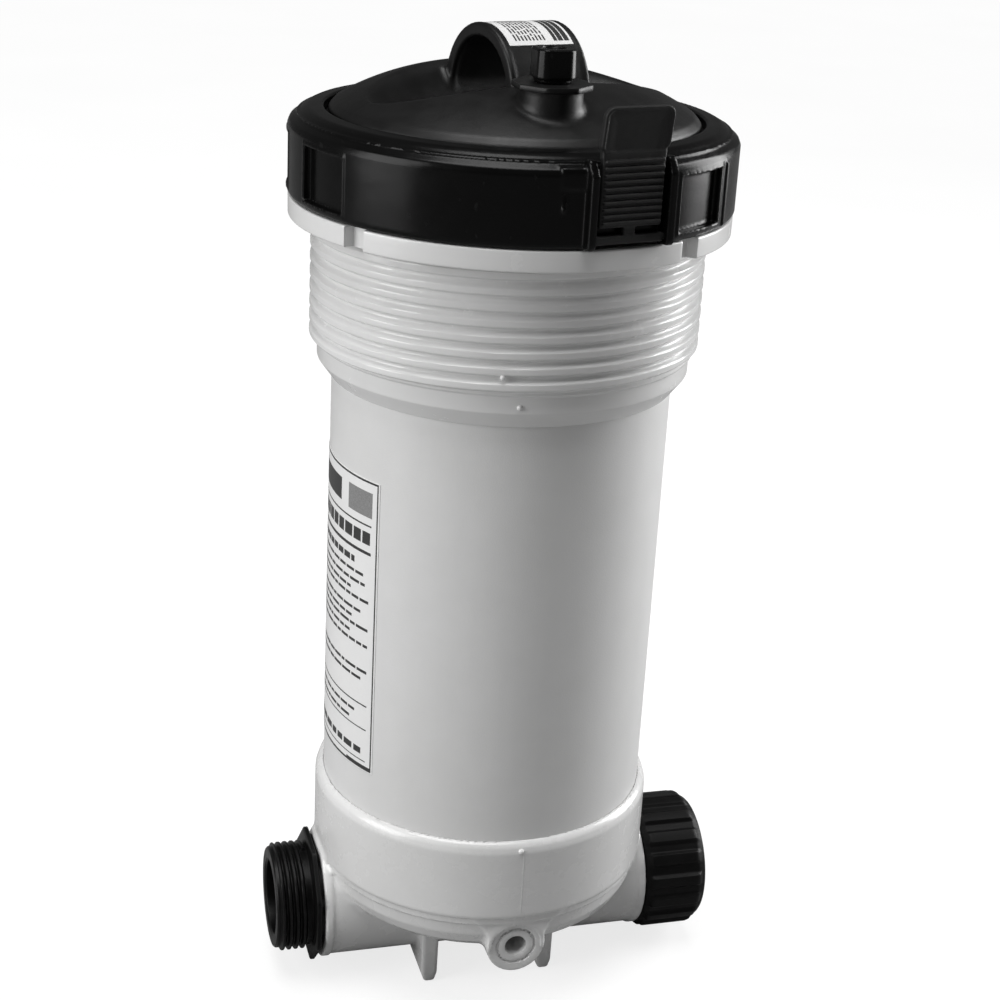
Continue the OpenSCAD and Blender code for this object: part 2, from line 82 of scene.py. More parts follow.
def join_meshes(name, obs):
    """One object from several, keeping each one's material."""
    mats, V, F, M = [], [], [], []
    off = 0
    for o in obs:
        me = o.data
        co = np.zeros(len(me.vertices) * 3, np.float32)
        me.vertices.foreach_get("co", co)
        V.append(co.reshape(-1, 3))
        local = []
        for m in me.materials:
            if m not in mats:
                mats.append(m)
            local.append(mats.index(m))
        for p in me.polygons:
            F.append([v + off for v in p.vertices])
            M.append(local[p.material_index] if local else 0)
        off += len(me.vertices)
    me = bpy.data.meshes.new(name)
    me.from_pydata(np.concatenate(V).tolist(), [], F)
    for m in mats:
        me.materials.append(m)
    me.polygons.foreach_set("material_index", np.array(M, np.int32))
    me.polygons.foreach_set("use_smooth", np.ones(len(F), bool))
    me.set_sharp_from_angle(angle=32 * DEG)
    me.update()
    for o in obs:
        bpy.data.objects.remove(o)
    ob = bpy.data.objects.new(name, me)
    scene.collection.objects.link(ob)
    return ob


def fillet(points):
    """Profile from (r, z[, radius]) corners, with each corner rounded by an arc."""
    out = []
    n = len(points)
    for i, p in enumerate(points):
        rad = p[2] if len(p) > 2 else 0
        a, b, c = np.array(points[i - 1][:2], float), np.array(p[:2], float), np.array(points[(i + 1) % n][:2], float)
        if rad <= 0:
            out.append(tuple(b))
            continue
        u, w = a - b, c - b
        lu, lw = np.linalg.norm(u), np.linalg.norm(w)
        u, w = u / lu, w / lw
        ang = math.acos(max(-1, min(1, float(u @ w))))
        t = min(rad / math.tan(ang / 2), lu * 0.49, lw * 0.49)
        rad = t * math.tan(ang / 2)
        centre = b + (u + w) / np.linalg.norm(u + w) * rad / math.sin(ang / 2)
        s, e = b + u * t, b + w * t
        k = max(2, int(math.ceil((math.pi - ang) / (14 * DEG))))
        for j in range(k + 1):
            q = j / k
            d = (s - centre) * (1 - q) + (e - centre) * q
            out.append(tuple(centre + d / np.linalg.norm(d) * rad))
    return out


def dense(prof, step):
    """Profile with its long straight runs cut to steps."""
    out = []
    for i, p in enumerate(prof):
        q = prof[(i + 1) % len(prof)]
        k = max(1, int(math.ceil(math.hypot(q[0] - p[0], q[1] - p[1]) / step)))
        out += [(p[0] + (q[0] - p[0]) * j / k, p[1] + (q[1] - p[1]) * j / k) for j in range(k)]
    return out


def revolve(name, prof, mat=None, nth=192, fun=None, thetas=None, angle=32, xform=None):
    """Closed profile of (r, z) turned about Z. fun(theta, r, z) may change r and z (arrays, theta in degrees)."""
    P = np.array(prof, float)
    area = 0.5 * np.sum(P[:, 0] * np.roll(P[:, 1], -1) - np.roll(P[:, 0], -1) * P[:, 1])
    if area < 0:
        P = P[::-1]
    th = np.arange(nth) * 360.0 / nth if thetas is None else np.array(sorted(thetas), float)
    T, R = np.meshgrid(th, P[:, 0], indexing="ij")
    _, Z = np.meshgrid(th, P[:, 1], indexing="ij")
    if fun is not None:
        R, Z = fun(T, R, Z)
    a = T * DEG
    V = np.stack([R * np.cos(a), R * np.sin(a), Z], -1).reshape(-1, 3)
    nt, ns = T.shape
    i, j = np.meshgrid(np.arange(nt), np.arange(ns), indexing="ij")
    i2, j2 = (i + 1) % nt, (j + 1) % ns
    F = np.stack([i * ns + j, i2 * ns + j, i2 * ns + j2, i * ns + j2], -1).reshape(-1, 4)
    return put_mesh(name, V, F, mat, angle, xform)


def smooth01(x):
    x = np.clip(x, 0, 1)
    return x * x * (3 - 2 * x)


def bump(t, lo, hi, soft):
    """1 between lo and hi, falling to 0 over soft on each side."""
    return smooth01((t - lo) / soft + 0.5) * smooth01((hi - t) / soft + 0.5)


def surface(name, f, lo, hi, h, mat=None, newton=4, angle=40):
    """Closed quad mesh of the solid where f < 0, on a grid of step h, drawn onto f = 0 by Newton steps."""
    lo, hi = np.array(lo, float), np.array(hi, float)
    n = np.ceil((hi - lo) / h).astype(int) + 1
    ax = [lo[k] + h * np.arange(n[k]) for k in range(3)]
    X, Y = np.meshgrid(ax[0], ax[1], indexing="ij")
    Fv = np.empty(tuple(n), np.float32)
    for k in range(n[2]):
        Fv[:, :, k] = f(X, Y, np.full_like(X, ax[2][k]))
    S = Fv < 0
    corners = [(i, j, k) for i in (0, 1) for j in (0, 1) for k in (0, 1)]
    cnt = np.zeros(tuple(n - 1), np.int8)
    for i, j, k in corners:
        cnt += S[i : n[0] - 1 + i, j : n[1] - 1 + j, k : n[2] - 1 + k]
    mixed = (cnt > 0) & (cnt < 8)
    idx = -np.ones(mixed.shape, np.int64)
    cells = np.argwhere(mixed)
    idx[mixed] = np.arange(len(cells))
    P, W = np.zeros((len(cells), 3)), np.zeros(len(cells))
    for a in corners:
        for axis in range(3):
            if a[axis]:
                continue
            b = list(a)
            b[axis] = 1
            fa = Fv[cells[:, 0] + a[0], cells[:, 1] + a[1], cells[:, 2] + a[2]]
            fb = Fv[cells[:, 0] + b[0], cells[:, 1] + b[1], cells[:, 2] + b[2]]
            cross = (fa < 0) != (fb < 0)
            t = np.where(cross, fa / np.where(cross, fa - fb, 1), 0)
            p = np.tile(np.array(a, float), (len(cells), 1))
            p[:, axis] += t
            P += p * cross[:, None]
            W += cross
    pos = lo + h * (cells + P / W[:, None])
    e = 0.03
    for _ in range(newton):
        d = f(pos[:, 0], pos[:, 1], pos[:, 2])
        g = np.stack([
            (f(pos[:, 0] + e, pos[:, 1], pos[:, 2]) - f(pos[:, 0] - e, pos[:, 1], pos[:, 2])),
            (f(pos[:, 0], pos[:, 1] + e, pos[:, 2]) - f(pos[:, 0], pos[:, 1] - e, pos[:, 2])),
            (f(pos[:, 0], pos[:, 1], pos[:, 2] + e) - f(pos[:, 0], pos[:, 1], pos[:, 2] - e))], -1) / (2 * e)
        step = g * (d / np.maximum((g * g).sum(1), 0.2))[:, None]
        ln = np.linalg.norm(step, axis=1)
        step *= np.minimum(1, 0.45 * h / np.maximum(ln, 1e-9))[:, None]
        pos -= step * 0.9
    quads = []
    for axis in range(3):
        o1, o2 = (axis + 1) % 3, (axis + 2) % 3
        sl0 = [slice(None)] * 3
        sl1 = [slice(None)] * 3
        sl0[axis], sl1[axis] = slice(0, n[axis] - 1), slice(1, n[axis])
        s0, s1 = S[tuple(sl0)], S[tuple(sl1)]
        g = np.argwhere(s0 != s1)
        ok = (g[:, o1] > 0) & (g[:, o1] < n[o1] - 1) & (g[:, o2] > 0) & (g[:, o2] < n[o2] - 1)
        g = g[ok]
        inside = S[g[:, 0], g[:, 1], g[:, 2]]
        def cell(d1, d2):
            c = g.copy()
            c[:, o1] -= d1
            c[:, o2] -= d2
            return idx[c[:, 0], c[:, 1], c[:, 2]]
        q = np.stack([cell(1, 1), cell(0, 1), cell(0, 0), cell(1, 0)], -1)
        q[~inside] = q[~inside][:, ::-1]
        quads.append(q)
    F = np.concatenate(quads)
    return put_mesh(name, pos, F, mat, angle)


def poly_sdf(poly):
    """Signed distance to a closed 2D polygon."""
    A = np.array(poly, float)
    B = np.roll(A, -1, 0)

    def d(x, y):
        best = np.full(x.shape, 1e18)
        inside = np.zeros(x.shape, bool)
        for (ax, ay), (bx, by) in zip(A, B):
            ex, ey = bx - ax, by - ay
            wx, wy = x - ax, y - ay
            t = np.clip((wx * ex + wy * ey) / (ex * ex + ey * ey), 0, 1)
            dx, dy = wx - ex * t, wy - ey * t
            best = np.minimum(best, dx * dx + dy * dy)
            c = (ay > y) != (by > y)
            if ey != 0:
                inside ^= c & (x < ex * (y - ay) / ey + ax)
        return np.where(inside, -1, 1) * np.sqrt(best)

    return d


def inset(poly, r):
    """Polygon moved inwards by r."""
    P = np.array(poly, float)
    area = 0.5 * np.sum(P[:, 0] * np.roll(P[:, 1], -1) - np.roll(P[:, 0], -1) * P[:, 1])
    if area < 0:
        P = P[::-1]
    out = []
    n = len(P)
    for i in range(n):
        a, b, c = P[i - 1], P[i], P[(i + 1) % n]
        u, w = (b - a) / np.linalg.norm(b - a), (c - b) / np.linalg.norm(c - b)
        n1, n2 = np.array([-u[1], u[0]]), np.array([-w[1], w[0]])
        m = n1 + n2
        out.append(b + m * r / (m @ n1))
    return out


def smin(a, b, k):
    h = np.clip(0.5 + 0.5 * (b - a) / k, 0, 1)
    return b + (a - b) * h - k * h * (1 - h)


def smax(a, b, k):
    return -smin(-a, -b, k)


def box_sdf(x, y, z, cx, cy, cz, hx, hy, hz, r=0.0):
    dx, dy, dz = np.abs(x - cx) - hx + r, np.abs(y - cy) - hy + r, np.abs(z - cz) - hz + r
    return np.sqrt(np.maximum(dx, 0) ** 2 + np.maximum(dy, 0) ** 2 + np.maximum(dz, 0) ** 2) + np.minimum(np.maximum(dx, np.maximum(dy, dz)), 0) - r


def cyl_sdf(rad, t, r, t0, t1, rnd_=0.0):
    """Capped cylinder from a radial distance and a coordinate along its axis."""
    a, b = rad - r + rnd_, np.abs(t - (t0 + t1) / 2) - (t1 - t0) / 2 + rnd_
    return np.sqrt(np.maximum(a, 0) ** 2 + np.maximum(b, 0) ** 2) + np.minimum(np.maximum(a, b), 0) - rnd_


PX = Matrix.Translation((0, 0, 0.041)) @ Matrix.Rotation(math.pi / 2, 4, "Y")  # Z of a turned part to +X, at port height
NX = Matrix.Translation((0, 0, 0.041)) @ Matrix.Rotation(-math.pi / 2, 4, "Y")

# ----------------------------------------------------------------------------
# Materials
# ----------------------------------------------------------------------------


class Nodes:
    def __init__(self, name):
        self.mat = bpy.data.materials.new(name)
        self.mat.use_nodes = True
        self.nt = self.mat.node_tree
        self.nt.nodes.clear()
        self.out = self.add("ShaderNodeOutputMaterial")
        self.bsdf = self.add("ShaderNodeBsdfPrincipled")
        self.link(self.bsdf.outputs[0], self.out.inputs[0])
        self.geo = self.add("ShaderNodeTexCoord")
        self.co = self.geo.outputs["Object"]

    def add(self, kind, **kw):
        n = self.nt.nodes.new(kind)
        for k, v in kw.items():
            setattr(n, k, v)
        return n

    def link(self, a, b):
        self.nt.links.new(a, b)

    def noise(self, scale, detail=3, rough=0.5, vec=None, dist=0.0):
        n = self.add("ShaderNodeTexNoise")
        n.inputs["Scale"].default_value = scale
        n.inputs["Detail"].default_value = detail
        n.inputs["Roughness"].default_value = rough
        n.inputs["Distortion"].default_value = dist
        self.link(vec or self.co, n.inputs["Vector"])
        return n.outputs["Fac"]

    def scaled(self, sx, sy, sz, rot=None):
        m = self.add("ShaderNodeMapping")
        m.inputs["Scale"].default_value = (sx, sy, sz)
        if rot:
            m.inputs["Rotation"].default_value = rot
        self.link(self.co, m.inputs["Vector"])
        return m.outputs[0]

    def ramp(self, fac, stops):
        r = self.add("ShaderNodeValToRGB")
        els = r.color_ramp.elements
        while len(els) < len(stops):
            els.new(0.5)
        for e, (p, c) in zip(els, stops):
            e.position = p
            e.color = (c, c, c, 1) if isinstance(c, (int, float)) else (*c, 1)
        self.link(fac, r.inputs[0])
        return r.outputs[0]

    def math(self, op, a, b=0.0, clamp=False):
        m = self.add("ShaderNodeMath", operation=op)
        m.use_clamp = clamp
        for i, v in enumerate((a, b)):
            if isinstance(v, (int, float)):
                m.inputs[i].default_value = v
            else:
                self.link(v, m.inputs[i])
        return m.outputs[0]

    def mix(self, fac, a, b, mode="MIX"):
        m = self.add("ShaderNodeMix", data_type="RGBA", blend_type=mode)
        for i, v in ((0, fac), (6, a), (7, b)):
            if isinstance(v, (int, float)):
                m.inputs[i].default_value = v if i == 0 else (v, v, v, 1)
            elif isinstance(v, tuple):
                m.inputs[i].default_value = (*v, 1) if len(v) == 3 else v
            else:
                self.link(v, m.inputs[i])
        return m.outputs[2]

    def bump(self, height, strength, dist, prev=None):
        b = self.add("ShaderNodeBump")
        b.inputs["Strength"].default_value = strength
        b.inputs["Distance"].default_value = dist
        self.link(height, b.inputs["Height"])
        if prev is not None:
            self.link(prev, b.inputs["Normal"])
        return b.outputs[0]

    def set(self, **kw):
        names = {"color": "Base Color", "rough": "Roughness", "metal": "Metallic", "normal": "Normal", "coat": "Coat Weight",
                 "coat_rough": "Coat Roughness", "spec": "Specular IOR Level", "sss": "Subsurface Weight", "sheen": "Sheen Weight", "ior": "IOR"}
        for k, v in kw.items():
            i = self.bsdf.inputs[names[k]]
            if isinstance(v, (int, float)):
                i.default_value = v if k != "color" else (v, v, v, 1)
            elif isinstance(v, tuple):
                i.default_value = (*v, 1)
            else:
                self.link(v, i)
        return self.mat


def edge_wear(m, radius=0.0012, lo=0.02, hi=0.10):
    """0 on flat areas, 1 on convex edges, from a rounded normal compared with the true one."""
    bev = m.add("ShaderNodeBevel", samples=4)
    bev.inputs["Radius"].default_value = radius
    geo = m.add("ShaderNodeNewGeometry")
    dot = m.add("ShaderNodeVectorMath", operation="DOT_PRODUCT")
    m.link(bev.outputs[0], dot.inputs[0])
    m.link(geo.outputs["Normal"], dot.inputs[1])
    diff = m.math("SUBTRACT", 1.0, dot.outputs["Value"])
    mr = m.add("ShaderNodeMapRange")
    mr.inputs["From Min"].default_value = lo
    mr.inputs["From Max"].default_value = hi
    m.link(diff, mr.inputs["Value"])
    return mr.outputs[0]


def white_plastic(name, base=0.80, rough=0.30, grain=0.35, dirt=0.5, coat=0.2, streak=0.0):
    m = Nodes(name)
    big = m.noise(9, 4, 0.55, dist=0.4)
    mid = m.noise(60, 5, 0.6)
    fine = m.noise(1400, 3, 0.6)
    flow = m.noise(14, 3, 0.5, vec=m.scaled(1, 1, 0.22))
    tone = m.ramp(big, [(0.25, (base * 0.955, base * 0.955, base * 0.945)), (0.5, (base, base, base * 0.995)), (0.8, (base * 1.03, base * 1.03, base * 1.03))])
    mott = m.ramp(mid, [(0.3, 0.975), (0.7, 1.0)])
    col = m.mix(1.0, tone, mott, "MULTIPLY")
    specks = m.ramp(m.noise(520, 2, 0.4), [(0.0, 0.0), (0.785, 0.0), (0.83, 1.0), (1.0, 1.0)])
    col = m.mix(m.math("MULTIPLY", specks, 0.35 * dirt), col, (base * 0.42, base * 0.40, base * 0.36))
    stain = m.math("MULTIPLY", m.ramp(m.noise(26, 6, 0.7, dist=1.2), [(0.0, 0.0), (0.60, 0.0), (0.80, 1.0), (1.0, 1.0)]), 0.10 * dirt)
    col = m.mix(stain, col, (base * 0.70, base * 0.68, base * 0.62))
    if streak:
        s = m.ramp(m.noise(120, 2, 0.5, vec=m.scaled(1, 1, 0.02)), [(0.35, 0.0), (0.75, 1.0)])
        col = m.mix(m.math("MULTIPLY", s, streak), col, (base * 0.93, base * 0.93, base * 0.93))
    r = m.ramp(mid, [(0.2, rough * 0.82), (0.8, rough * 1.25)])
    b = m.bump(fine, 0.22 * grain, 0.0004)
    b = m.bump(flow, 0.20, 0.0012, b)
    b = m.bump(mid, 0.10, 0.0006, b)
    return m.set(color=col, rough=r, normal=b, coat=coat, coat_rough=0.16, spec=0.5, sss=0.0)


def black_plastic(name, base=0.012, rough=0.30, grain=0.5, wear=0.5, coat=0.0, dust=0.35, flow=0.3, spec=0.17):
    m = Nodes(name)
    big = m.noise(14, 4, 0.6, dist=0.6)
    mid = m.noise(90, 5, 0.62)
    fine = m.noise(1900, 2, 0.6)
    tone = m.ramp(big, [(0.25, base * 0.8), (0.75, base * 1.35)])
    dusty = m.ramp(m.noise(38, 8, 0.72, dist=1.0), [(0.0, 0.0), (0.46, 0.0), (0.85, 1.0), (1.0, 1.0)])
    col = m.mix(m.math("MULTIPLY", dusty, 0.05 * dust), tone, (0.42, 0.41, 0.39))
    ew = edge_wear(m)
    scuff = m.math("MULTIPLY", ew, m.ramp(m.noise(260, 4, 0.7), [(0.3, 0.2), (0.7, 1.0)]))
    col = m.mix(m.math("MULTIPLY", scuff, 0.16 * wear), col, (0.30, 0.30, 0.30))
    scratch = m.ramp(m.noise(300, 2, 0.5, vec=m.scaled(1, 0.05, 0.6, (0.4, 0.2, 0.9)), dist=0.2), [(0.0, 0.0), (0.70, 0.0), (0.76, 1.0), (1.0, 1.0)])
    col = m.mix(m.math("MULTIPLY", scratch, 0.05 * wear), col, (0.25, 0.25, 0.25))
    r = m.math("ADD", m.ramp(mid, [(0.2, rough * 0.80), (0.8, rough * 1.3)]), m.math("MULTIPLY", dusty, 0.10 * dust), True)
    r = m.math("ADD", r, m.math("MULTIPLY", scuff, 0.15 * wear), True)
    b = m.bump(fine, 0.30 * grain, 0.0003)
    b = m.bump(m.noise(22, 3, 0.5, dist=0.3), flow * 0.4, 0.0014, b)
    b = m.bump(mid, 0.10 * grain, 0.0005, b)
    return m.set(color=col, rough=r, normal=b, coat=coat, coat_rough=0.12, spec=spec)


def rubber(name, base=0.018):
    m = Nodes(name)
    n1 = m.noise(160, 5, 0.6)
    col = m.ramp(n1, [(0.2, base * 0.7), (0.8, base * 1.8)])
    return m.set(color=col, rough=m.ramp(n1, [(0.2, 0.42), (0.8, 0.62)]), normal=m.bump(m.noise(2500, 2), 0.25, 0.0002))


def urethane(name, base):
    m = Nodes(name)
    n1 = m.noise(70, 5, 0.6)
    b0 = tuple(c * 0.8 for c in base)
    b1 = tuple(min(1, c * 1.2) for c in base)
    col = m.ramp(n1, [(0.2, b0), (0.8, b1)])
    return m.set(color=col, rough=m.ramp(n1, [(0.2, 0.38), (0.8, 0.55)]), normal=m.bump(m.noise(900, 3), 0.2, 0.0004), coat=0.1)


def fabric(name, base, scale=900, weave=True):
    m = Nodes(name)
    wv = m.add("ShaderNodeTexWave", wave_type="BANDS", bands_direction="Z")
    wv.inputs["Scale"].default_value = scale / 6
    wv.inputs["Distortion"].default_value = 2.0
    m.link(m.co, wv.inputs["Vector"])
    fib = m.noise(scale, 5, 0.75, dist=1.0)
    h = m.math("ADD", m.math("MULTIPLY", wv.outputs["Fac"], 0.4 if weave else 0.1), fib)
    tone = m.ramp(m.noise(40, 4, 0.6), [(0.2, tuple(c * 0.90 for c in base)), (0.8, base)])
    col = m.mix(m.ramp(fib, [(0.3, 0.25), (0.7, 0.0)]), tone, tuple(c * 0.7 for c in base))
    return m.set(color=col, rough=0.85, normal=m.bump(h, 0.6, 0.0005), sheen=0.25)


def steel(name):
    m = Nodes(name)
    n1 = m.noise(500, 3, 0.6, vec=m.scaled(1, 1, 4))
    return m.set(color=m.ramp(n1, [(0.2, 0.50), (0.8, 0.66)]), metal=1.0, rough=m.ramp(n1, [(0.2, 0.22), (0.8, 0.40)]), normal=m.bump(n1, 0.15, 0.0002))


def paper(name, base=0.90, rough=0.34, shade=0.03):
    m = Nodes(name)
    n1 = m.noise(35, 5, 0.6)
    col = m.ramp(n1, [(0.25, (base * (1 - shade),) * 3), (0.75, (base, base, base * 0.995))])
    return m.set(color=col, rough=m.ramp(m.noise(220, 3), [(0.2, rough * 0.85), (0.8, rough * 1.2)]), normal=m.bump(m.noise(700, 3), 0.10, 0.0002), coat=0.12)


def ink(name, tone=0.03):
    m = Nodes(name)
    n1 = m.noise(1500, 3, 0.7)
    col = m.ramp(n1, [(0.25, tone * 0.7), (0.8, tone * 1.5)])
    return m.set(color=col, rough=m.ramp(n1, [(0.2, 0.32), (0.8, 0.5)]), normal=m.bump(n1, 0.08, 0.0001))


M_BASE = white_plastic("white_base", 0.75, 0.26, 0.30, 0.7, 0.35)
M_NECK = white_plastic("white_neck", 0.76, 0.24, 0.28, 0.35, 0.35)
M_TUBE = white_plastic("white_tube", 0.74, 0.40, 0.9, 0.45, 0.10, streak=0.25)
M_LID = black_plastic("black_lid", 0.0030, 0.38, 0.9, 0.25, 0.0, 0.10, 0.25, 0.34)
M_RING = black_plastic("black_ring", 0.0022, 0.22, 0.25, 0.45, 0.0, 0.03, 0.5)
M_KNOB = black_plastic("black_knob", 0.0022, 0.24, 0.3, 0.35, 0.0, 0.03, 0.3)
M_TAB = black_plastic("grey_tab", 0.014, 0.48, 0.8, 0.5, 0.0, 0.25, 0.3, 0.25)
M_FIT = black_plastic("black_fitting", 0.0026, 0.34, 0.5, 0.35, 0.0, 0.05, 0.3)
M_NUT = black_plastic("black_nut", 0.0024, 0.44, 0.6, 0.25, 0.0, 0.04, 0.3)
M_SEAL = rubber("seal_rubber")
M_STEEL = steel("spring_steel")
M_VALVE = white_plastic("white_valve", 0.70, 0.40, 0.5, 0.3, 0.0)
M_PLEAT = fabric("pleat_cloth", (0.86, 0.86, 0.84), 1100, False)
M_BAND = fabric("band_cloth", (0.62, 0.66, 0.72), 900, True)
M_CAP = urethane("cap_urethane", (0.07, 0.16, 0.34))
M_CORE = white_plastic("white_core", 0.78, 0.42, 0.6, 0.2, 0.0)
M_LABEL = paper("label_vinyl", 0.86, 0.36, 0.03)
M_TAG = paper("handle_vinyl", 0.88, 0.30, 0.02)
M_INK = ink("label_ink", 0.030)
M_INK2 = ink("label_ink_grey", 0.22)

# ----------------------------------------------------------------------------
# Key sizes, in millimetres, the same numbers as the CAD
# ----------------------------------------------------------------------------
PORT_Z, PORT_X, PORT_R, SOCKET_R = 41.0, 88.6, 33.0, 27.0
TUBE_R, TUBE_RI = 84.15, 79.65
LID_Z, DOME_H, LID_R = 464.0, 20.0, 88.0
GRIP = 15 * DEG
ARCH_R, ARCH_T, ARCH_W = 32.0, 5.6, 42.0
ARCH_Z = 503 - ARCH_R
KNOB, BOSS_TOP = (-1.0, -60.0), 485.5
TAB = -77 * DEG
TAB_W = 31.5
RING_R = 107.0
VAL_X = 46.0


def done(ob, body, *nodes, slot=None):
    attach(ob, body)
    if nodes:
        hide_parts(*nodes)
    return ob


def use(node, mat):
    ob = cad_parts[node]
    ob.data.materials.clear()
    ob.data.materials.append(mat)


def sector(name, prof, a0, a1, mat, step=2.0):
    """Closed solid: profile turned about Z from a0 to a1 degrees."""
    P = np.array(prof, float)
    n = max(3, int(abs(a1 - a0) / step) + 1)
    th = np.linspace(a0, a1, n) * DEG
    V = np.concatenate([np.stack([P[:, 0] * math.cos(t), P[:, 0] * math.sin(t), P[:, 1]], -1) for t in th])
    k = len(P)
    F = []
    area = 0.5 * np.sum(P[:, 0] * np.roll(P[:, 1], -1) - np.roll(P[:, 0], -1) * P[:, 1])
    for i in range(n - 1):
        for j in range(k):
            q = [i * k + j, (i + 1) * k + j, (i + 1) * k + (j + 1) % k, i * k + (j + 1) % k]
            F.append(q if area > 0 else q[::-1])
    c0, c1 = list(range(k)), list(range((n - 1) * k, n * k))
    F.append(c0 if area > 0 else c0[::-1])
    F.append(c1[::-1] if area > 0 else c1)
    return put_mesh(name, V, F, mat, 32)


def nub(name, az, z, r, size, mat):
    a = az * DEG
    c = (r * math.cos(a), r * math.sin(a), z)
    return surface(name, lambda X, Y, Z: np.sqrt((X - c[0]) ** 2 + (Y - c[1]) ** 2 + (Z - c[2]) ** 2) - size,
                   [v - size - 0.6 for v in c], [v + size + 0.6 for v in c], 0.4, mat, 2)


def tick(name, az, z0, z1, r0, r1, w, mat):
    """Thin upright bar on a cylinder, w millimetres wide."""
    h = math.degrees(w / 2 / r1)
    return sector(name, [(r0, z0), (r1, z0), (r1, z1), (r0, z1)], az - h, az + h, mat)


# ----------------------------------------------------------------------------
# Base: collar, bowl, port tubes, feet and drain boss in one moulding
# ----------------------------------------------------------------------------
base_out = poly_sdf(inset([(0, 40), (50, 41), (66, 44.2), (75, 48.4), (81, 53.5), (84.6, 60), (85.6, 66.8), (86.9, 67.6), (86.9, 71.0), (87.9, 71.5),
                           (88.5, 72.6), (88.5, 109.6), (87.6, 112.6), (86.2, 114.3), (84.75, 115), (0, 115)], 0.6))
base_in = poly_sdf([(-5, 46.2), (46, 47.4), (61, 50.6), (70, 55), (76, 61), (79.65, 68), (79.65, 76), (84.2, 76), (84.2, 120), (-5, 120)])


def f_base(x, y, z):
    r = np.hypot(x, y)
    ax = np.hypot(y, z - PORT_Z)
    bowl = base_out(r, z) - 0.6
    tubes = cyl_sdf(ax, x, PORT_R, -PORT_X, PORT_X, 0.8)
    rim = cyl_sdf(ax, np.abs(x), PORT_R + 0.9, PORT_X - 4.2, PORT_X, 0.8)
    tubes = smin(tubes, rim, 0.8)
    d = smin(bowl, tubes, 5.0)
    for s in (-1, 1):
        t = 2.8 + np.clip(z / 5.0, 0, 1) * 1.5 + np.clip((z - 5) / 39, 0, 1) * 0.4
        foot = smax(np.abs(x - s * 32) - t, smax(np.abs(y) - 34.4, -z, 1.4), 1.4)
        foot = smax(foot, z - 44, 1.0)
        d = smin(d, foot, 3.2)
    dr = np.hypot(x, z - 52)
    boss = cyl_sdf(dr, -y, 15.0, 40, 84, 0.9)
    web = smax(np.abs(x) - (13.2 + np.clip((z - 56) / 14, 0, 1.1) ** 1.8 * 9), smax(-(z - 53), z - 70.5, 1), 2.0)
    web = smax(web, smax(-(y + 83.6), y + 40, 1), 1.2)
    d = smin(d, smin(boss, web, 5.0), 2.6)
    # Inside
    inner = np.maximum(base_in(r, z), -1e3)
    inlet = cyl_sdf(ax, x, SOCKET_R, -PORT_X - 9, -52, 0.3)
    d = smax(d, -inner, 0.7)
    d = smax(d, -inlet, 0.9)
    pipe = cyl_sdf(ax, x, SOCKET_R + 1, -44, PORT_X - 8, 1.0)
    stand = cyl_sdf(r, z, 26.6, PORT_Z, PORT_Z + 57, 1.0)
    should = cyl_sdf(r, z, 34, 62, 81.6, 0.8)
    rv = np.hypot(x - VAL_X, y)
    vboss = cyl_sdf(rv, z, 18, 50, 70, 0.6)
    d = smin(d, smin(smin(pipe, stand, 2.5), smin(should, vboss, 2.0), 2.5), 2.0)
    d = smax(d, -cyl_sdf(ax, x, 22, -38, PORT_X - 20), 0.5)
    d = smax(d, -cyl_sdf(ax, x, SOCKET_R, PORT_X - 24, PORT_X + 9), 0.9)
    d = smax(d, -cyl_sdf(r, z, 21, PORT_Z, 130), 0.8)
    d = smax(d, -cyl_sdf(rv, z, 14, PORT_Z, 90), 0.4)
    d = smax(d, -cyl_sdf(rv, z, 17.2, 70, 92), 0.4)
    # Drain: open hole, its small chamfer and the ring groove round it
    d = smax(d, -cyl_sdf(dr, -y, 13.2, 84, 96), 0.6)
    d = smax(d, -cyl_sdf(dr, -y, 5.6, 60, 100), 0.8)
    d = smax(d, -np.maximum(np.abs(dr - 9.8) - 0.62, y + 82.6), 0.5)
    return d


base = surface("base_moulding", f_base, (-92, -92, -3), (92, 92, 119), 1.1, M_BASE)
base = join_meshes("base_moulding", [base, tick("parting_line", -90, 74, 111.5, 88.35, 88.62, 0.35, M_BASE), nub("gate_mark", -91, 110.6, 88.1, 1.5, M_BASE)])
done(base, "tank", "base", slot="white_body")

# ----------------------------------------------------------------------------
# Tank tube
# ----------------------------------------------------------------------------
tube = revolve("tank_tube", dense(fillet([(TUBE_RI, 76.06), (TUBE_R, 76.06, 0.5), (TUBE_R, 403.9, 0.5), (TUBE_RI, 403.9)]), 12.0), M_TUBE, nth=224)
done(tube, "tank", "tube", slot="white_tube")

# ----------------------------------------------------------------------------
# Neck: step band, fixing thread, notched flange and locking lugs
# ----------------------------------------------------------------------------
PITCH, ROOT, CREST = 7.35, 92.9, 95.5
TH0, TH1 = 351.2, 409.9
FLANGE = 106.5


def thread_shape(u, crest, root, flat=0.30, round_=0.5):
    """Height of a rounded ridge where u runs 0..1 over one pitch, its crest at 0.5."""
    a = np.abs(u - 0.5) * 2
    return root + (crest - root) * smooth01((1.0 - a - 0.10) / (1 - flat - 0.10) * 1.0)


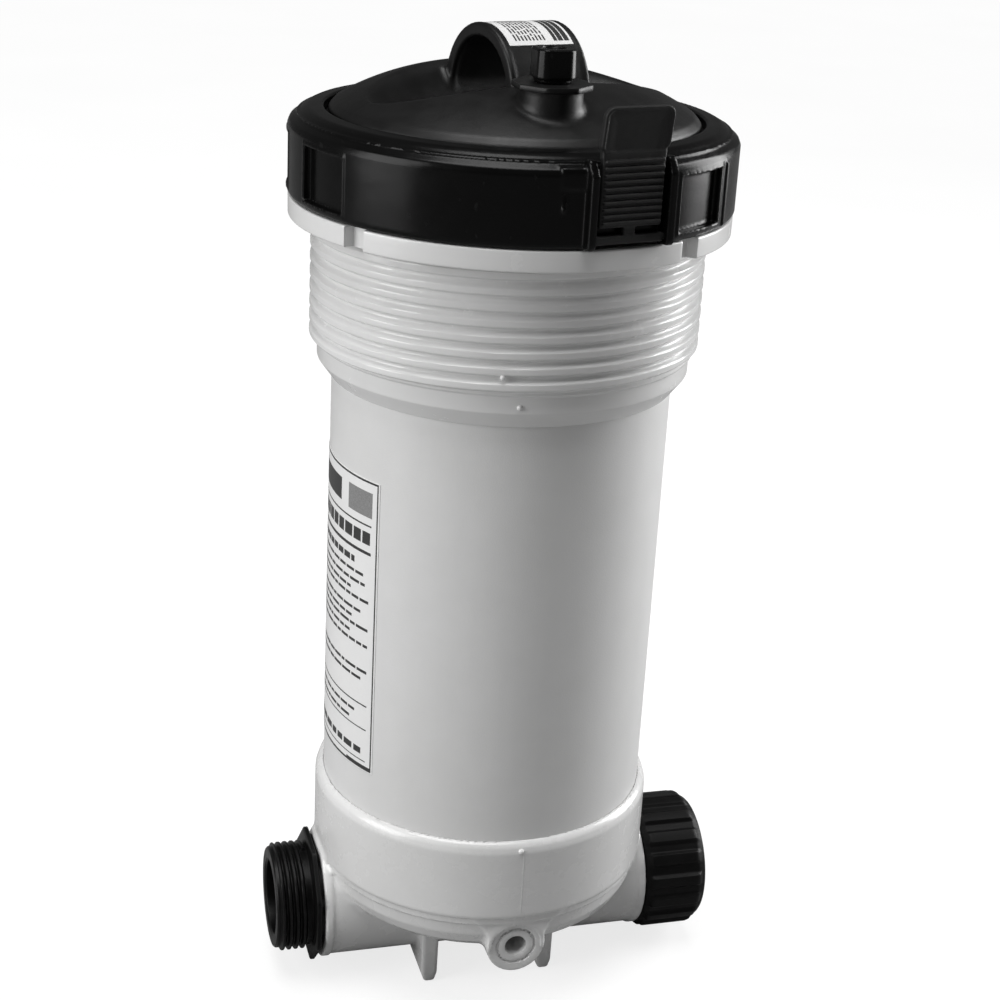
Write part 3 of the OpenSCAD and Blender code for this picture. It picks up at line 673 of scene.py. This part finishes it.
def neck_fun(T, R, Z):
    on = (Z > TH0 - 0.01) & (Z < TH1 + 0.01) & (R > 92) & (R < 96)
    u = (Z - 346.44) / PITCH - T / 360.0
    ridge = thread_shape(u - np.floor(u), CREST, ROOT)
    fade = smooth01((Z - TH0) / 2.0) * smooth01((TH1 - Z) / 1.6)
    R2 = np.where(on, np.maximum(R, ROOT + (ridge - ROOT) * fade), R)
    # Flange notches
    w = 0
    for a in (-146, -56, 34, 124):
        w = np.maximum(w, bump(np.mod(T - a + 180, 360) - 180, -3.0, 3.0, 0.5))
    fl = (Z > 410.4) & (Z < 421.3) & (R2 > FLANGE - 5.1)
    Rn = np.where(fl, R2 - (R2 - FLANGE + 5.2) * w, R2)
    return Rn, Z


thz = np.arange(TH0 + 0.4, TH1, 0.40)
neck_prof = (
    fillet([(TUBE_R + 0.06, 347.0), (TUBE_R + 0.06, 333.6), (TUBE_R + 1.2, 333.5, 0.5), (91.5, 341.8, 1.4), (91.5, 349.8, 0.9), (92.9, 351.0, 0.4), (92.9, 352.4)])[:-1]
    + [(92.9, z) for z in thz]
    + fillet([(92.9, TH1), (95.7, 410.1, 0.4), (95.8, 411.0, 0.4), (FLANGE - 0.1, 411.1, 0.8), (FLANGE, 420.9, 0.9), (93.5, 421.0, 0.5), (93.5, 452.0, 0.8), (86.2, 452.0, 0.8),
              (84.3, 449.0, 0.6), (84.3, 438.0, 0.6), (80.05, 434.0, 0.8), (80.05, 404.1), (TUBE_R + 0.06, 404.1), (TUBE_R + 0.06, 372.0)])[0:]
)
ths = set(np.arange(0, 360, 1.25).tolist())
for a in (-146, -56, 34, 124):
    for e in (-3.0, 3.0):
        for dd in (-0.3, -0.22, -0.15, -0.08, 0, 0.08, 0.15, 0.22, 0.3):
            ths.add((a + e + dd) % 360)
# The flange needs radial loops for its notches
neck_prof = dense(neck_prof, 3.0)
neck_main = revolve("neck_part", neck_prof, M_NECK, fun=neck_fun, thetas=sorted(ths), angle=38)
extra = []


for i in range(3):
    a = -77 + 60 + i * 120
    extra.append(sector("lug", fillet([(92.8, 435.5), (100.8, 436.5, 0.6), (100.8, 442, 0.8), (92.8, 444.5)]), a - 24, a + 24, M_NECK))
# Small moulding nubs on the step band and lowest ridge
extra += [nub("nub_a", -105.5, 360, 95.3, 1.3, M_NECK), nub("nub_b", -100.2, 345, 91.3, 1.4, M_NECK)]
neck = join_meshes("neck_moulding", [neck_main] + extra)
done(neck, "tank", "neck", slot="white_body")

# ----------------------------------------------------------------------------
# Lid: dome with the grip valley, handle arch, air relief boss, flange and plug
# ----------------------------------------------------------------------------
CG, SG = math.cos(GRIP), math.sin(GRIP)


def dome_top(x, y):
    r = np.hypot(x, y)
    u, v = x * CG + y * SG, -x * SG + y * CG
    z = LID_Z + DOME_H * (1 - np.minimum(r / 86, 1.1) ** 2.6)
    half = 38 * np.sqrt(np.clip(1 - (u / 76) ** 2, 0, 1))
    w = 1 - smooth01((np.abs(v) - half + 21) / 24.0)
    z = z + (np.minimum(z, 462.8) - z) * w
    # Fine rim rolled over at the lid's edge
    z = z - 1.2 * smooth01((r - 84.5) / 3.5)
    return z


def f_lid(x, y, z):
    r = np.hypot(x, y)
    u, v = x * CG + y * SG, -x * SG + y * CG
    top = (z - dome_top(x, y)) * 0.90
    edge = cyl_sdf(r, z, 88.0, 440, 490, 0.8)
    skin = smax(top, edge, 1.0)
    flange = cyl_sdf(r, z, 93.6, 452.3, 457.3, 0.7)
    plug = cyl_sdf(r, z, 83.9, 440, 456, 0.8)
    upper = smax(skin, 452.6 - z, 0.8)
    d = np.minimum(smin(upper, flange, 0.8), plug)
    # Hollow
    hol = smax((z - (dome_top(x, y) - 3.8)) * 0.90, r - 78.4, 4.0)
    knob = np.hypot(x - KNOB[0], y - KNOB[1])
    hol = smax(hol, -(knob - 8.5), 1.5)
    d = smax(d, -hol, 0.6)
    # Handle arch with thicker rolled mouths
    rho = np.hypot(v, z - ARCH_Z)
    lip = smooth01((np.abs(u) - (ARCH_W / 2 - 4.2)) / 2.4)
    tk = ARCH_T / 2 + 0.35 * lip
    mid = ARCH_R - ARCH_T / 2
    qx, qy = np.abs(rho - mid) - tk + 1.5, np.abs(u) - ARCH_W / 2 + 1.5
    arch = np.sqrt(np.maximum(qx, 0) ** 2 + np.maximum(qy, 0) ** 2) + np.minimum(np.maximum(qx, qy), 0) - 1.5
    arch = smax(arch, 460.5 - z, 0.5)
    d = smin(d, arch, 4.5)
    # Boss of the air relief under an eight sided lip
    boss = cyl_sdf(knob, z, 14.2, 458, BOSS_TOP - 1, 1.1)
    d = smin(d, smax(boss, (dome_top(x, y) - 3.0 - z), 0.5), 3.6)
    X, Y = np.abs(x - KNOB[0]), np.abs(y - KNOB[1])
    lip8 = smax(np.maximum(X, Y), (X + Y) * 0.70711, 0.8) - 17.1
    d = smin(d, smax(lip8, np.abs(z - BOSS_TOP + 1.4) - 1.4, 0.8), 1.0)
    d = smax(d, -cyl_sdf(knob, z, 7.0, BOSS_TOP - 4, 500), 0.7)
    d = smax(d, -cyl_sdf(knob, z, 3.58, 430, 500), 0.3)
    # Seal groove
    d = smax(d, -np.maximum(80.15 - r, np.abs(z - 446.0) - 2.2), 0.3)
    return d


lid = surface("lid_moulding", f_lid, (-96, -96, 437), (96, 96, 506), 1.02, M_LID)
done(lid, "lid", "lid", slot="black_lid")

# ----------------------------------------------------------------------------
# Lock ring
# ----------------------------------------------------------------------------
ring_prof = poly_sdf(inset([(101.5, 421.4), (105.8, 421.4), (107.0, 423.2), (107.0, 453.6), (106.0, 455.9), (99.6, 460.6), (97.4, 461.7), (91.0, 462.3), (90.0, 461.6),
                            (90.0, 457.8), (101.5, 457.8)], 0.7))
CT, ST = math.cos(TAB), math.sin(TAB)
POCKETS = [(-167.3, -150.1), (-61.5, -44.3), (-5.0, 12.2), (50.0, 67.2), (105.0, 122.2), (160.0, 177.2)]


def ang(x, y):
    return np.degrees(np.arctan2(y, x))


def f_ring(x, y, z):
    r = np.hypot(x, y)
    t = ang(x, y)
    a, b = x * CT + y * ST, -x * ST + y * CT  # out along the tab, and sideways
    d = ring_prof(r, z) - 0.7
    for p0, p1 in POCKETS:
        c, h = (p0 + p1) / 2, (p1 - p0) / 2
        dt = np.abs(np.mod(t - c + 180, 360) - 180)
        side = (dt - h) * DEG * r
        zz = np.abs(z - 437.9) - 12.5
        frame_ = np.maximum(np.maximum(side - 1.5, zz - 1.4), r - 107.45)
        frame_ = np.maximum(frame_, -(r - 104.6))
        d = smin(d, frame_, 0.6)
        pocket = smax(smax(side, zz, 1.2), 103.8 - r, 1.0)
        d = smax(d, -pocket, 0.8)
    # Upright rib beside the front pocket
    rib = smax(np.abs(np.mod(t + 41.0 + 180, 360) - 180) * DEG * r - 1.1, smax(r - 108.0, smax(103 - r, np.abs(z - 437.5) - 14.5, 0.6), 0.6), 0.7)
    d = smin(d, rib, 1.0)
    # Lugs inside
    for i in range(3):
        c = -77 + i * 120
        side = (np.abs(np.mod(t - c + 180, 360) - 180) - 24) * DEG * r
        lug = np.maximum(side, np.maximum(94.2 - r, r - 102.5))
        lug = smax(lug, np.abs(z - 430) - (3.5 + (r - 94.2) * 0.24), 0.8)
        d = smin(d, lug, 0.6)
    # Slot and cheeks of the lock tab
    slot = np.maximum(103.4 - a, np.abs(b) - (TAB_W / 2 + 2.1))
    d = smax(d, -slot, 0.7)
    side = np.abs(np.abs(b) - (TAB_W / 2 + 4.1)) - 2.0
    prof = smax(a - 110.4 + np.clip((423.6 - z) / 2, 0, 1.2) * 1.1 + np.clip((z - 454) / 5, 0, 2) * 2.9, 101.9 - a, 0.6)
    cheek = smax(smax(side, prof, 1.0), smax(421.7 - z, z - 460.6, 0.8), 1.0)
    d = smin(d, cheek, 1.2)
    # Short gusset and the raised step on the land left of the tab
    step = smax(smax(np.abs(b + TAB_W / 2 + 11.2) - 5.2, np.abs(r - 103.2) - 4.4, 0.8), np.abs(z - 452.6) - 4.6, 0.8)
    d = smin(d, smax(step, ring_prof(r, z) - 2.1, 0.6), 1.0)
    gus = smax(np.abs(b + TAB_W / 2 + 15.2) - 0.9, smax(z - 447, 438 - z, 1), 0.6)
    gus = smax(gus, smax(r - (107 + np.clip((447 - z) / 9, 0, 1) * 1.5), 103 - r, 0.5), 0.6)
    d = smin(d, gus, 0.8)
    # Window for the tooth and trunnion holes
    d = smax(d, -np.maximum(np.maximum(np.abs(b) - 7, np.abs(z - 441) - 4.5), np.abs(a - 100) - 10), 0.4)
    ax = np.hypot(a - 106.2, z - 425.6)
    d = smax(d, -cyl_sdf(ax, b, 1.64, -TAB_W / 2 - 4.9, TAB_W / 2 + 4.9), 0.2)
    return d


ring = surface("lock_ring_moulding", f_ring, (-113, -113, 418), (113, 113, 465), 0.92, M_RING)
done(ring, "ring", "lock_ring", slot="black_ring")

# ----------------------------------------------------------------------------
# Lock tab
# ----------------------------------------------------------------------------


def f_tab(x, y, z):
    a, b = x * CT + y * ST, -x * ST + y * CT
    w = TAB_W / 2
    bar = box_sdf(a, b, z, 106.1, 0, 425.6, 1.7, w + 1.6, 2.0, 0.8)
    pin = cyl_sdf(np.hypot(a - 106.2, z - 425.6), b, 1.54, -w - 4.6, w + 4.6, 0.3)
    stem = box_sdf(a, b, z, 106.2, 0, 429.6, 1.2, 3.0, 3.4, 0.5)
    panel = box_sdf(a, b, z, 106.3, 0, 447.5, 1.7, w, 16.5, 0.9)
    ribs = 1e3
    for i in range(10):
        zc = 433.4 + i * 2.95
        arc = 0.10 * (b / w) ** 2
        ribs = np.minimum(ribs, box_sdf(a, b, z + arc, 107.9, 0, zc, 1.45, w - 0.9, 0.78, 0.62))
    tooth = box_sdf(a, b, z, 103.8, 0, 440.2, 1.6, 5, 2.0, 0.5)
    # Paddle, leaning out, with a rolled rim
    lean = 106.4 + np.clip(z - 465, 0, 20) * 0.150
    ww = w + 1.6 * smooth01((z - 462.8) / 4.0)
    px, pz = np.abs(b) - ww + 4.6, z - 483.5 + 4.6
    outline = np.sqrt(np.maximum(px, 0) ** 2 + np.maximum(pz, 0) ** 2) + np.minimum(np.maximum(px, pz), 0) - 4.6
    rimw = smooth01((outline + 2.2) / 1.2) * smooth01((z - 464.0) / 3.0)
    front = a - lean - 1.30 - 0.60 * rimw + 0.28 * smooth01((-outline - 3.0) / 4.0)
    paddle = smax(smax(outline, smax(front, lean - 1.5 - a, 0.5), 0.9), 461.2 - z, 1.0)
    d = smin(panel, paddle, 1.2)
    d = smin(d, ribs, 0.35)
    d = smin(d, smin(stem, smin(bar, pin, 0.4), 0.8), 0.9)
    return smin(d, tooth, 0.6)


cx, cy = 106.5 * CT, 106.5 * ST
tab = surface("lock_tab_moulding", f_tab, (cx - 24, cy - 12, 421.5), (cx + 24, cy + 12, 485.5), 0.42, M_TAB)
done(tab, "tab", "lock_tab", slot="grey_tab")

# ----------------------------------------------------------------------------
# Air relief knob
# ----------------------------------------------------------------------------


def f_knob(x, y, z):
    X, Y = x - KNOB[0], y - KNOB[1]
    r = np.hypot(X, Y)
    w = 9.15
    taper = np.clip((z - 487) / 13, 0, 1) * 0.35
    flats = np.maximum(np.abs(X), np.abs(Y)) - w + taper
    corner = (np.abs(X) + np.abs(Y)) * 0.70711 - (w * 1.4142 - 2.3) + taper
    block = smax(smax(flats, corner, 1.1), smax(487.2 - z, z - 500.4, 0.6), 1.3)
    dish = cyl_sdf(r, z, 5.4, 499.5, 505, 0.5)
    block = smax(block, -dish, 0.5)
    collar = cyl_sdf(r, z, 8.6, BOSS_TOP + 0.4, 488.5, 0.5)
    stem = cyl_sdf(r, z, 3.5, 458, 489, 0.6)
    return smin(smin(block, collar, 0.4), stem, 0.5)


knob = surface("relief_knob_moulding", f_knob, (KNOB[0] - 13, KNOB[1] - 13, 456.5), (KNOB[0] + 13, KNOB[1] + 13, 502), 0.42, M_KNOB)
done(knob, "relief", "relief_knob", slot="black_ring")

# ----------------------------------------------------------------------------
# Inlet adapter: spigot, flange with eight flats, helical male thread
# ----------------------------------------------------------------------------
IT = 28.7


def inlet_fun(T, R, Z):
    z0, z1, p = 94.4, 111.4, 3.6
    on = (Z > z0 - 0.01) & (Z < z1 + 0.01) & (R > 26)
    u = (Z - z0) / p - T / 360.0
    a = np.abs(u - np.floor(u) - 0.5) * 2
    ridge = 26.9 + (IT - 26.9) * np.clip((1 - a - 0.14) / 0.56, 0, 1)
    fade = smooth01(u * 5) * smooth01((z1 - Z) / 0.8)
    R2 = np.where(on, 26.9 + (ridge - 26.9) * fade, R)
    # Eight flats on the flange
    s = np.abs(np.mod(T + 22.5, 45) - 22.5) * DEG
    flat = 33.3 / np.cos(s)
    fl = (Z > 90.0) & (Z < 94.0) & (R > 32.5)
    R2 = np.where(fl, np.minimum(R + 0.0, flat - (35.8 - R)), R2)
    return R2, Z


zt = np.arange(94.4, 111.41, 0.24)
prof = (fillet([(19.7, 64.0), (19.7, 60.7, 0.4), (26.95, 60.7, 0.9), (26.95, 88.7), (30.6, 88.75, 0.3), (33.0, 90.5)])[:-1]
        + [(33.0, 90.6), (35.0, 90.9), (35.8, 91.4), (35.8, 92.6), (35.8, 93.3), (35.0, 93.8), (33.0, 93.95), (27.6, 94.0)]
        + [(26.9, z) for z in zt]
        + fillet([(26.9, 111.5), (26.9, 112.6, 0.4), (26.1, 113.4, 0.3), (21.0, 113.4, 0.3), (19.7, 112.4, 0.4), (19.7, 100)])[1:])
inlet = revolve("inlet_adapter_part", dense(prof, 5.0), M_FIT, nth=240, fun=inlet_fun, xform=NX, angle=34)
done(inlet, "tank", "inlet_adapter", slot="black_fitting")

# ----------------------------------------------------------------------------
# Union nut with grip lobes
# ----------------------------------------------------------------------------


def nut_fun(T, R, Z):
    n = 18
    ph = np.mod(T * n / 360.0, 1.0)
    lobe = smooth01((np.cos(2 * math.pi * ph) + 0.62) / 0.95)
    env = smooth01((Z - 89.6) / 3.6) * smooth01((122.4 - Z) / 4.6)
    out = R > 33.2
    return np.where(out, R + 1.75 * lobe * env, R), Z


nut_out = fillet([(31.0, 91.0), (31.0, 89.3, 0.4), (33.4, 89.3, 0.7), (35.05, 92.2, 1.2), (35.05, 119.6, 2.0), (33.5, 122.9, 0.6), (32.7, 123.7, 0.3), (26.5, 123.7, 0.5), (26.5, 103.3),
                  (29.3, 103.3), (29.3, 92.0)])
nut = revolve("union_nut_part", dense(nut_out, 1.3), M_NUT, nth=360, fun=nut_fun, xform=PX, angle=34)
done(nut, "nut", "union_nut", slot="black_fitting")

# Parts that keep their CAD shape
for node, mat in (("outlet_adapter", M_FIT), ("union_tailpiece", M_FIT), ("union_oring", M_SEAL), ("bypass_cage", M_VALVE), ("bypass_poppet", M_FIT),
                  ("bypass_spring", M_STEEL), ("lid_oring", M_SEAL), ("relief_oring", M_SEAL), ("cartridge_core", M_CORE),
                  ("cartridge_bottom_cap", M_CAP), ("cartridge_pleats", M_PLEAT), ("cartridge_bands", M_BAND), ("cartridge_top_cap", M_CAP),
                  ("body_label", M_LABEL), ("handle_label", M_TAG)):
    use(node, mat)

# ----------------------------------------------------------------------------
# Label print: plain bars and lines on the body label and the handle label
# ----------------------------------------------------------------------------


def bar(a0, a1, z0, z1, mat=M_INK):
    return sector("bar", [(84.40, z0), (84.49, z0), (84.49, z1), (84.40, z1)], a0, a1, mat)


def row(a1, z, h, a0=-222.0, lo=2.0, hi=6.5, gap=0.75, mat=M_INK):
    """A line of short bars from a1 leftwards."""
    out, a = [], a1
    while a > a0 + lo:
        w = rnd.uniform(lo, hi)
        out.append(bar(max(a0, a - w), a, z - h / 2, z + h / 2, mat))
        a -= w + gap
    return out


LA, LB = -225.4, -146.6
print_ = [bar(LA, LB, 292.6, 293.6), bar(LA, LB, 138.4, 139.6), bar(LB - 0.55, LB, 138.4, 293.6), bar(LA, LA + 0.55, 138.4, 293.6),
          bar(-162.6, -149.3, 275, 288, M_INK2), bar(-222, -168, 276, 287.5, M_INK),
          bar(-222, -149.5, 270.3, 271.1), bar(-222, -149.5, 255.5, 257.1), bar(-222, -149.5, 173.7, 174.4), bar(-222, -149.5, 160.5, 161.1),
          bar(-222, -149.5, 142.8, 143.3), bar(-160, LB, 138.4, 140.6)]
print_ += row(-150, 264, 6.4, lo=3.0, hi=5.0, gap=0.9)
print_ += row(-158, 250, 3.2, a0=-210, lo=2.0, hi=4.0)
for a1, z in ((-153, 244), (-152, 239), (-160, 234.5), (-150, 230.5), (-154, 224), (-159, 219.5), (-150, 215.5), (-160, 211), (-150, 206.6),
              (-150, 192.5), (-153, 188), (-156, 169), (-159, 164)):
    print_ += row(a1, z, 1.5)
print_ += row(-152, 148, 3.4, lo=3.0, hi=6.0, gap=1.2)
body_print = join_meshes("body_label_print", print_)
done(body_print, "tank", slot="label")


def arch_bar(u0, u1, p0, p1, mat=M_INK):
    """Thin strip on the handle arch: u along the tunnel, p the angle from the top in degrees."""
    n = max(3, int(abs(p1 - p0) / 3) + 1)
    V, F = [], []
    for p in np.linspace(p0, p1, n) * DEG:
        for u, rr in ((u0, 32.18), (u1, 32.18), (u1, 32.29), (u0, 32.29)):
            v, z = rr * math.sin(p), ARCH_Z + rr * math.cos(p)
            V.append((u * CG - v * SG, u * SG + v * CG, z))
    for i in range(n - 1):
        for j in range(4):
            F.append([i * 4 + j, i * 4 + (j + 1) % 4, (i + 1) * 4 + (j + 1) % 4, (i + 1) * 4 + j][::-1])
    F.append([0, 1, 2, 3])
    F.append([(n - 1) * 4 + k for k in (3, 2, 1, 0)])
    ob = put_mesh("arch_bar", V, F, mat)
    return ob


tags = []
for k, u in enumerate(np.arange(-12.5, 4.5, 1.9)):
    p = -35.0
    while p < 33:
        w = rnd.uniform(3.0, 9.0)
        tags.append(arch_bar(u - 0.42, u + 0.42, p, min(35, p + w)))
        p += w + 1.6
for u, w in ((8.4, 0.9), (11.2, 1.3), (14.4, 1.3)):
    tags.append(arch_bar(u - w, u + w, -36, 36))
done(join_meshes("handle_label_print", tags), "lid", slot="label")

# ----------------------------------------------------------------------------
# Floor, light and camera
# ----------------------------------------------------------------------------


def stage_mesh():
    m = Nodes("floor_paint")
    n1 = m.noise(3, 3, 0.5)
    m.set(color=m.ramp(n1, [(0.2, 0.24), (0.8, 0.26)]), rough=0.9, spec=0.0)
    em = m.add("ShaderNodeEmission")
    em.inputs[0].default_value = (1, 1, 1, 1)
    em.inputs[1].default_value = 0.78
    add = m.add("ShaderNodeAddShader")
    m.link(m.bsdf.outputs[0], add.inputs[0])
    m.link(em.outputs[0], add.inputs[1])
    lp = m.add("ShaderNodeLightPath")
    mx = m.add("ShaderNodeMixShader")
    m.link(lp.outputs["Is Camera Ray"], mx.inputs[0])
    m.link(m.bsdf.outputs[0], mx.inputs[1])
    m.link(add.outputs[0], mx.inputs[2])
    m.link(mx.outputs[0], m.out.inputs[0])
    me = bpy.data.meshes.new("floor")
    me.from_pydata([(-9, -9, 0), (9, -9, 0), (9, 9, 0), (-9, 9, 0)], [], [(0, 1, 2, 3)])
    me.materials.append(m.mat)
    ob = bpy.data.objects.new("floor", me)
    scene.collection.objects.link(ob)
    ob.location = (0, 0, -0.0004)


stage_mesh()
world = bpy.data.worlds.new("studio")
scene.world = world
world.use_nodes = True
wn = world.node_tree
bg = wn.nodes["Background"]
bg.inputs[0].default_value = (1, 1, 1, 1)
lp = wn.nodes.new("ShaderNodeLightPath")
mr = wn.nodes.new("ShaderNodeMapRange")
mr.inputs["To Min"].default_value = 0.085
mr.inputs["To Max"].default_value = 1.0
wn.links.new(lp.outputs["Is Camera Ray"], mr.inputs["Value"])
wn.links.new(mr.outputs[0], bg.inputs[1])


def area(name, loc, target, size, power, size_y=None, spread=None):
    li = bpy.data.lights.new(name, "AREA")
    li.energy = power
    li.shape = "RECTANGLE"
    li.size, li.size_y = size, size_y or size
    if spread:
        li.spread = spread
    ob = bpy.data.objects.new(name, li)
    ob.location = loc
    ob.rotation_euler = (Vector(target) - Vector(loc)).to_track_quat("-Z", "Y").to_euler()
    scene.collection.objects.link(ob)
    return ob


def soft(name, az, dist, z, target_z, level, w, h):
    """Softbox at an azimuth; level is the brightness it gives a white wall facing it."""
    a = az * DEG
    d2 = dist * dist + (z - target_z) ** 2
    return area(name, (dist * math.cos(a), dist * math.sin(a), z), (0, 0, target_z), w, level * math.pi ** 2 * d2, h)


soft("left_box", -170, 1.5, 0.75, 0.26, 0.72, 0.9, 1.3)
soft("right_box", 8, 1.5, 0.75, 0.26, 1.12, 0.8, 1.3)
sun = bpy.data.lights.new("overhead", "SUN")
sun.energy, sun.angle = 2.2, 40 * DEG
sob = bpy.data.objects.new("overhead", sun)
sob.rotation_euler = Vector((0.12, 0.10, -1)).to_track_quat("-Z", "Y").to_euler()
scene.collection.objects.link(sob)

cam = bpy.data.cameras.new("camera")
cam.sensor_width = 36
cam.lens = 68.4
cam.clip_start, cam.clip_end = 0.02, 30
cob = bpy.data.objects.new("camera", cam)
right, up, fwd = Vector((0.964497, -0.259121, 0.051013)), Vector((0.048662, 0.364225, 0.930039)), Vector((0.259573, 0.894537, -0.363903))
cob.matrix_world = Matrix.Translation((-0.24889, -0.86798, 0.61726)) @ Matrix(((right.x, up.x, -fwd.x, 0), (right.y, up.y, -fwd.y, 0), (right.z, up.z, -fwd.z, 0), (0, 0, 0, 1)))
scene.collection.objects.link(cob)
scene.camera = cob
scene.view_settings.view_transform = "Standard"
scene.view_settings.look = "None"
